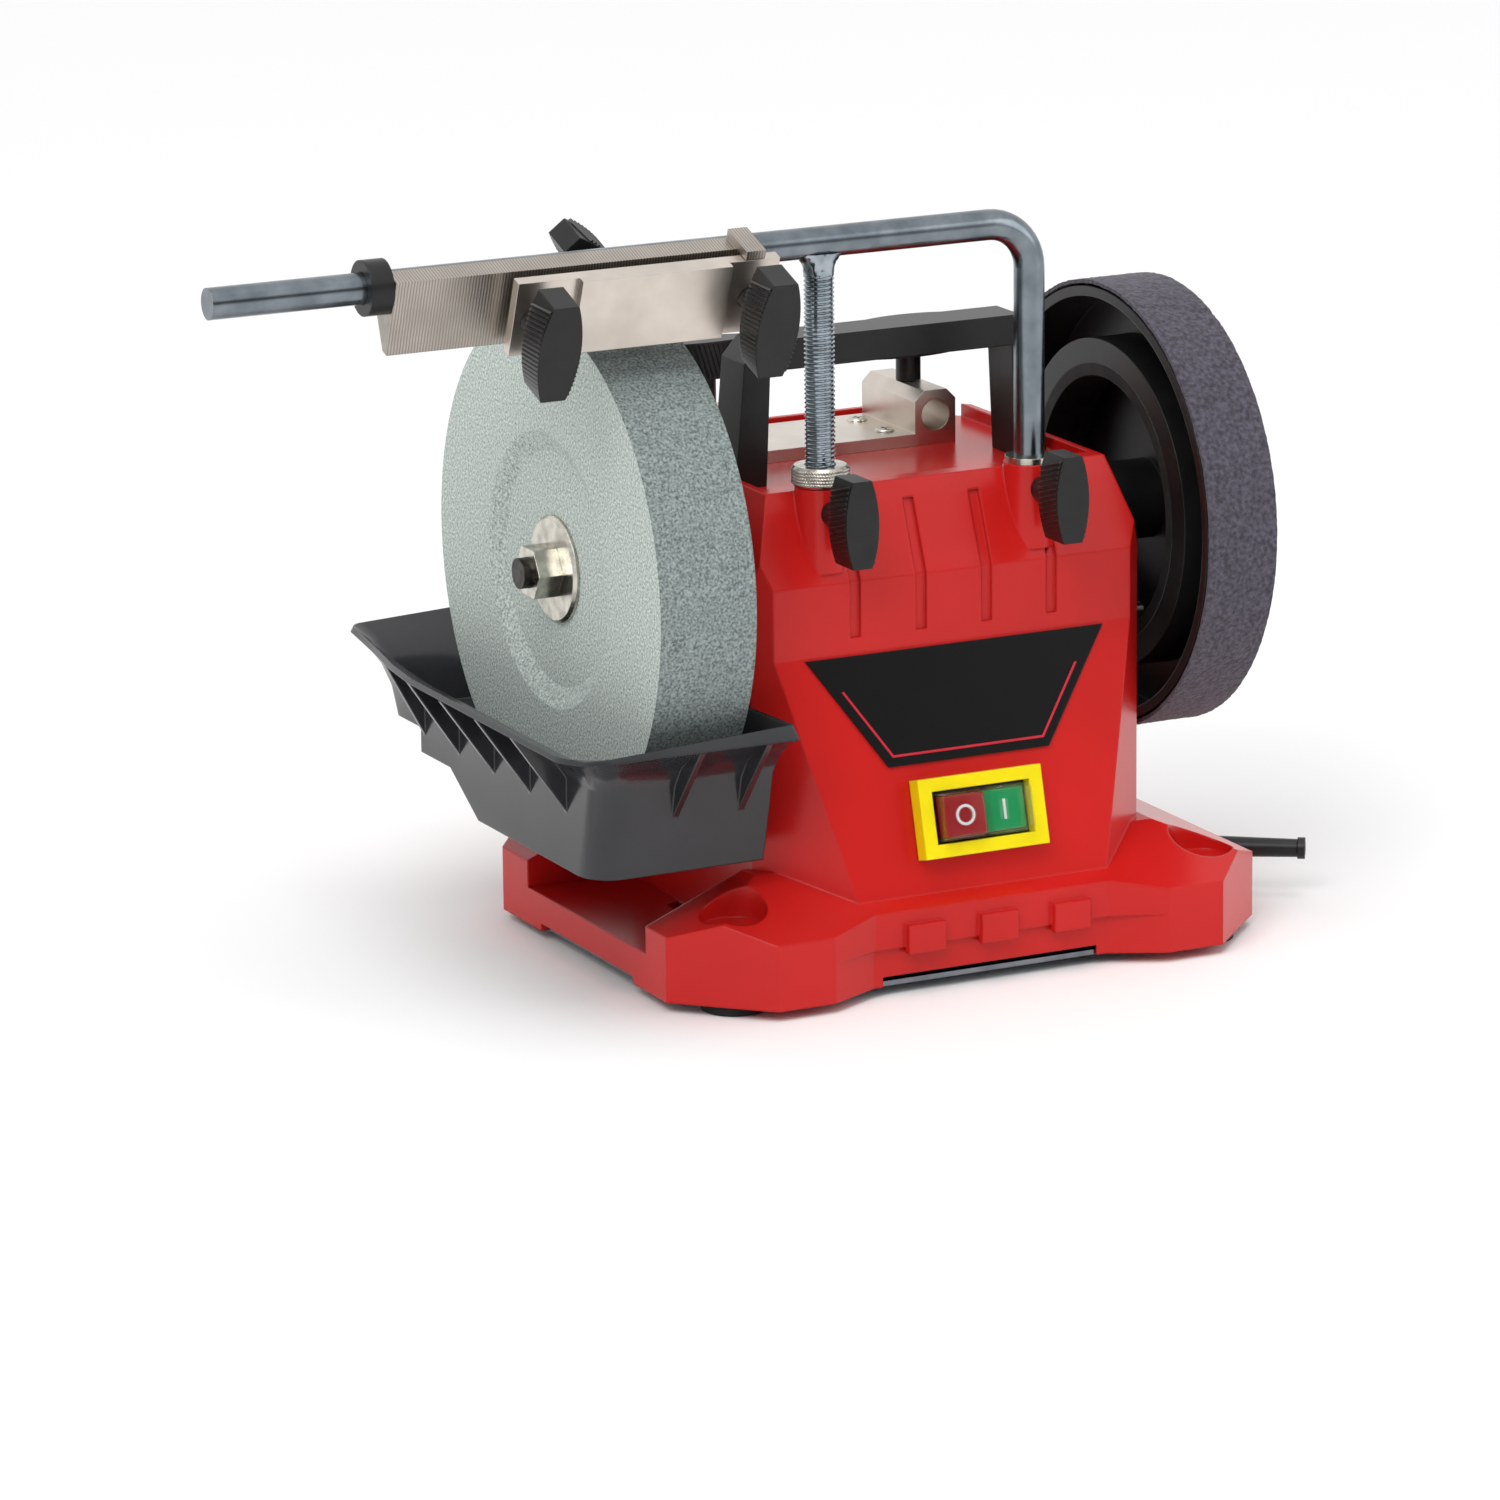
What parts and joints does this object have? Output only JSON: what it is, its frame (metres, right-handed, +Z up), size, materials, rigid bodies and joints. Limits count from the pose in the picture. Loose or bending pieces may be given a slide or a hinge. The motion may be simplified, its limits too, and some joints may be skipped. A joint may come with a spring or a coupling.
{
  "type": "wet grinding sharpener",
  "caption": "Bench wet sharpener with a slow grinding stone over a water tray, a honing wheel, and a height-set tool support bar that carries a straight-edge jig.",
  "frame": {"origin": "middle of the four bench holes, on the plane that the rubber feet stand on", "axes": "+X along the spindle from the grinding stone to the honing wheel, -Y out of the front with the switch, +Z up"},
  "size_m": [0.4739, 0.252, 0.3021],
  "materials": {
    "red_housing": "gloss",
    "black_plastic": "satin",
    "tray_plastic": "gloss",
    "stone": "matte",
    "zinc": "satin",
    "steel": "satin",
    "aluminium": "satin",
    "rubber": "matte",
    "leather": "matte",
    "yellow_plastic": "gloss",
    "red_button": "gloss",
    "green_button": "gloss",
    "clear_cover": "gloss",
    "badge": "gloss",
    "iron": "matte",
    "bronze": "satin"
  },
  "bodies": {
    "frame": {"housing": "red_housing", "bottom_plate": "zinc", "bottom_plate_screws": "zinc", "rubber_feet": "rubber", "handle": "black_plastic", "handle_screws": "zinc", "sleeve_block": "aluminium", "sleeve_block_screws": "zinc", "rod_bushes": "bronze", "switch_frame": "yellow_plastic", "switch_body": "black_plastic", "switch_cover": "clear_cover", "front_badge": "badge", "motor_stator": "iron", "motor_end_shields": "aluminium", "motor_bearings": "steel", "motor_bracket": "zinc", "capacitor": "aluminium", "spindle_bearings": "bronze", "cord_sleeve": "rubber"},
    "spindle": {"main_shaft": "steel", "wet_stone": "stone", "stone_flange": "black_plastic", "stone_washer": "zinc", "stone_nut": "zinc", "honing_hub": "black_plastic", "friction_ring": "rubber", "honing_band": "leather", "hub_nut": "zinc"},
    "rotor": {"motor_rotor": "iron", "motor_shaft": "steel"},
    "tray": {"water_tray": "tray_plastic"},
    "support": {"support_bar": "zinc", "threaded_rod": "zinc"},
    "lift_nut": {"height_nut": "zinc"},
    "jig_carrier": {"jig_end_rings": "black_plastic"},
    "jig": {"jig_body": "aluminium", "square_stop": "zinc"},
    "clamp": {"clamp_plate": "aluminium"},
    "clamp_knob_left": {"left_clamp_knob": "black_plastic"},
    "clamp_knob_right": {"right_clamp_knob": "black_plastic"},
    "jig_lock": {"jig_lock_knob": "black_plastic"},
    "lock_left": {"left_lock_knob": "black_plastic"},
    "lock_right": {"right_lock_knob": "black_plastic"},
    "sleeve_left": {"left_sleeve_knob": "black_plastic"},
    "sleeve_right": {"right_sleeve_knob": "black_plastic"},
    "stop": {"stop_button": "red_button"},
    "start": {"start_button": "green_button"}
  },
  "joints": [
    {"name": "spindle_spin", "type": "hinge", "parent": "frame", "child": "spindle", "pos_m": [0, 0, 0.162], "axis": [1, 0, 0], "continuous": true},
    {"name": "motor_spin", "type": "hinge", "parent": "frame", "child": "rotor", "pos_m": [0, 0, 0.11545], "axis": [1, 0, 0], "continuous": true},
    {"name": "tray_slide", "type": "slide", "parent": "frame", "child": "tray", "axis": [0, 0, 1], "range_m": [-0.009, 0]},
    {"name": "lift_nut_turn", "type": "hinge", "parent": "frame", "child": "lift_nut", "pos_m": [-0.0525, -0.05, 0.1993], "axis": [0, 0, -1], "range_deg": [-619, 9259]},
    {"name": "support_lift", "type": "slide", "parent": "frame", "child": "support", "axis": [0, 0, 1], "range_m": [-0.003, 0.045]},
    {"name": "jig_slide", "type": "slide", "parent": "support", "child": "jig_carrier", "axis": [1, 0, 0], "range_m": [-0.055, 0.015]},
    {"name": "jig_tilt", "type": "hinge", "parent": "jig_carrier", "child": "jig", "pos_m": [-0.157, -0.05, 0.2895], "axis": [-1, 0, 0], "range_deg": [-15, 12]},
    {"name": "clamp_slide", "type": "slide", "parent": "jig", "child": "clamp", "axis": [0, -0.9361, -0.3518], "range_m": [-0.004, 0.006]},
    {"name": "left_clamp_knob_turn", "type": "hinge", "parent": "clamp", "child": "clamp_knob_left", "pos_m": [-0.1785, -0.0652, 0.2731], "axis": [0, -0.9361, -0.3518], "range_deg": [-1441, 2161]},
    {"name": "right_clamp_knob_turn", "type": "hinge", "parent": "clamp", "child": "clamp_knob_right", "pos_m": [-0.0885, -0.0652, 0.2731], "axis": [0, -0.9361, -0.3518], "range_deg": [-1441, 2161]},
    {"name": "jig_lock_turn", "type": "hinge", "parent": "jig", "child": "jig_lock", "pos_m": [-0.135, -0.03384, 0.28062], "axis": [0, 0.9361, 0.3518], "range_deg": [-180, 180]},
    {"name": "left_lock_turn", "type": "hinge", "parent": "frame", "child": "lock_left", "pos_m": [-0.0525, -0.065, 0.186], "axis": [0, -1, 0], "range_deg": [-180, 180]},
    {"name": "right_lock_turn", "type": "hinge", "parent": "frame", "child": "lock_right", "pos_m": [0.0385, -0.065, 0.186], "axis": [0, -1, 0], "range_deg": [-180, 180]},
    {"name": "left_sleeve_turn", "type": "hinge", "parent": "frame", "child": "sleeve_left", "pos_m": [-0.0545, 0.047, 0.215], "axis": [0, 0, 1], "range_deg": [-180, 180]},
    {"name": "right_sleeve_turn", "type": "hinge", "parent": "frame", "child": "sleeve_right", "pos_m": [0.0365, 0.047, 0.215], "axis": [0, 0, 1], "range_deg": [-180, 180]},
    {"name": "stop_press", "type": "slide", "parent": "frame", "child": "stop", "axis": [0, 0.9677, -0.2521], "range_m": [0, 0.003], "stiffness_N_per_m": 400},
    {"name": "start_press", "type": "slide", "parent": "frame", "child": "start", "axis": [0, 0.9677, -0.2521], "range_m": [0, 0.003], "stiffness_N_per_m": 400}
  ],
  "couplings": [
    {"joint": "motor_spin", "follows": "spindle_spin", "ratio": 11.591},
    {"joint": "lift_nut_turn", "follows": "support_lift", "rad_per_m": 3590.4},
    {"joint": "left_clamp_knob_turn", "follows": "clamp_slide", "rad_per_m": 6283.2},
    {"joint": "right_clamp_knob_turn", "follows": "clamp_slide", "rad_per_m": 6283.2}
  ]
}
